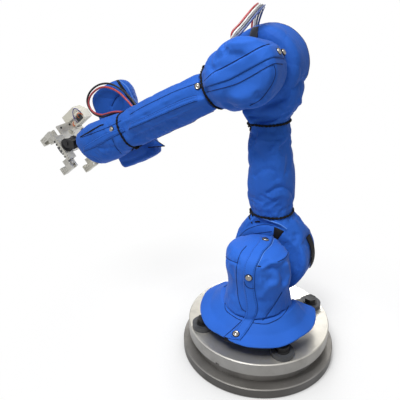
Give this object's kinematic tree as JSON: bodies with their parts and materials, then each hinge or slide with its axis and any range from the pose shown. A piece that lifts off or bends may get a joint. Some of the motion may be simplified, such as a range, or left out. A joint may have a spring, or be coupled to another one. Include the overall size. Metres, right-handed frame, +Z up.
{
  "type": "industrial robot arm",
  "caption": "Six-axis industrial robot arm in a sewn blue cloth jacket on a round steel pedestal, with a twin parallel gripper, hoses and a black wrist knuckle",
  "frame": {"origin": "middle of the pedestal's underside, on the floor", "axes": "+X forward towards the tool, +Y the robot's left, +Z up along the turning axis of the base"},
  "size_m": [1.0021, 0.44, 0.9587],
  "materials": {
    "steel": "turned steel",
    "dark_steel": "blackened steel",
    "base_iron": "dark painted casting",
    "jacket": "royal blue coated cloth",
    "black_cloth": "black gusset cloth",
    "black_cord": "black elastic cord",
    "black_metal": "satin black",
    "alloy": "clear anodised",
    "ivory": "ivory anodised",
    "red_hose": "red air hose",
    "white_hose": "white air hose",
    "black_hose": "black air hose",
    "blue_hose": "dark blue air hose"
  },
  "bodies": {
    "pedestal": {"pedestal_flange": "steel", "pedestal_neck": "dark_steel", "pedestal_plate": "steel", "robot_base": "base_iron", "foot_bolts": "dark_steel"},
    "turret": {"turret_column": "base_iron", "base_skirt": "jacket", "turret_cover": "jacket", "shoulder_shaft": "steel"},
    "lower_arm": {"shoulder_cover": "jacket", "shoulder_gusset": "black_cloth", "lower_arm_sleeve": "jacket", "shoulder_tie": "black_cord", "elbow_tie": "black_cord", "elbow_rear_cover": "jacket", "elbow_shaft": "steel"},
    "upper_arm": {"elbow_front_cover": "jacket", "forearm_tie": "black_cord", "elbow_red_hose": "red_hose", "elbow_white_hose": "white_hose", "elbow_grey_hose": "black_hose", "elbow_blue_hose": "blue_hose"},
    "forearm": {"forearm_spindle": "steel", "forearm_sleeve": "jacket", "wrist_tie": "black_cord", "wrist_cover": "jacket", "wrist_drive_cover": "jacket", "wrist_stem": "black_metal", "wrist_red_hose": "red_hose", "wrist_black_hose": "black_hose"},
    "wrist": {"wrist_knuckle": "black_metal"},
    "tool": {"tool_flange": "black_metal", "cross_bracket": "alloy", "front_gripper_body": "alloy", "rear_gripper_body": "ivory"},
    "front_jaw_up": {"front_upper_jaw": "alloy"},
    "front_jaw_low": {"front_lower_jaw": "alloy"},
    "rear_jaw_up": {"rear_upper_jaw": "ivory"},
    "rear_jaw_low": {"rear_lower_jaw": "ivory"}
  },
  "joints": [
    {"name": "swing", "type": "hinge", "parent": "pedestal", "child": "turret", "pos_m": [0, 0, 0.15], "axis": [0, 0, 1], "range_deg": [-170, 170]},
    {"name": "shoulder", "type": "hinge", "parent": "turret", "child": "lower_arm", "pos_m": [0, -0.1, 0.272], "axis": [0, 1, 0], "range_deg": [-45, 30]},
    {"name": "elbow", "type": "hinge", "parent": "lower_arm", "child": "upper_arm", "pos_m": [0.04706, 0, 0.80995], "axis": [0, -1, 0], "range_deg": [-35, 75], "deforming": ["elbow_red_hose", "elbow_white_hose", "elbow_grey_hose", "elbow_blue_hose"]},
    {"name": "roll", "type": "hinge", "parent": "upper_arm", "child": "forearm", "pos_m": [0.15272, 0, 0.75306], "axis": [0.8805, 0, -0.4741], "range_deg": [-150, 150]},
    {"name": "bend", "type": "hinge", "parent": "forearm", "child": "wrist", "pos_m": [0.65841, 0, 0.53358], "axis": [0, -1, 0], "range_deg": [-20, 50]},
    {"name": "turn", "type": "hinge", "parent": "wrist", "child": "tool", "pos_m": [0.65841, 0, 0.53358], "axis": [0.7771, 0, -0.6293], "range_deg": [-180, 180]},
    {"name": "front_grip", "type": "slide", "parent": "tool", "child": "front_jaw_up", "axis": [-0.6293, 0, -0.7771], "range_m": [0, 0.012]},
    {"name": "front_grip_low", "type": "slide", "parent": "tool", "child": "front_jaw_low", "axis": [0.6293, 0, 0.7771], "range_m": [0, 0.012]},
    {"name": "rear_grip", "type": "slide", "parent": "tool", "child": "rear_jaw_up", "axis": [-0.6293, 0, -0.7771], "range_m": [0, 0.012]},
    {"name": "rear_grip_low", "type": "slide", "parent": "tool", "child": "rear_jaw_low", "axis": [0.6293, 0, 0.7771], "range_m": [0, 0.012]}
  ],
  "couplings": [
    {"joint": "front_grip_low", "follows": "front_grip", "ratio": 1},
    {"joint": "rear_grip_low", "follows": "rear_grip", "ratio": 1}
  ]
}
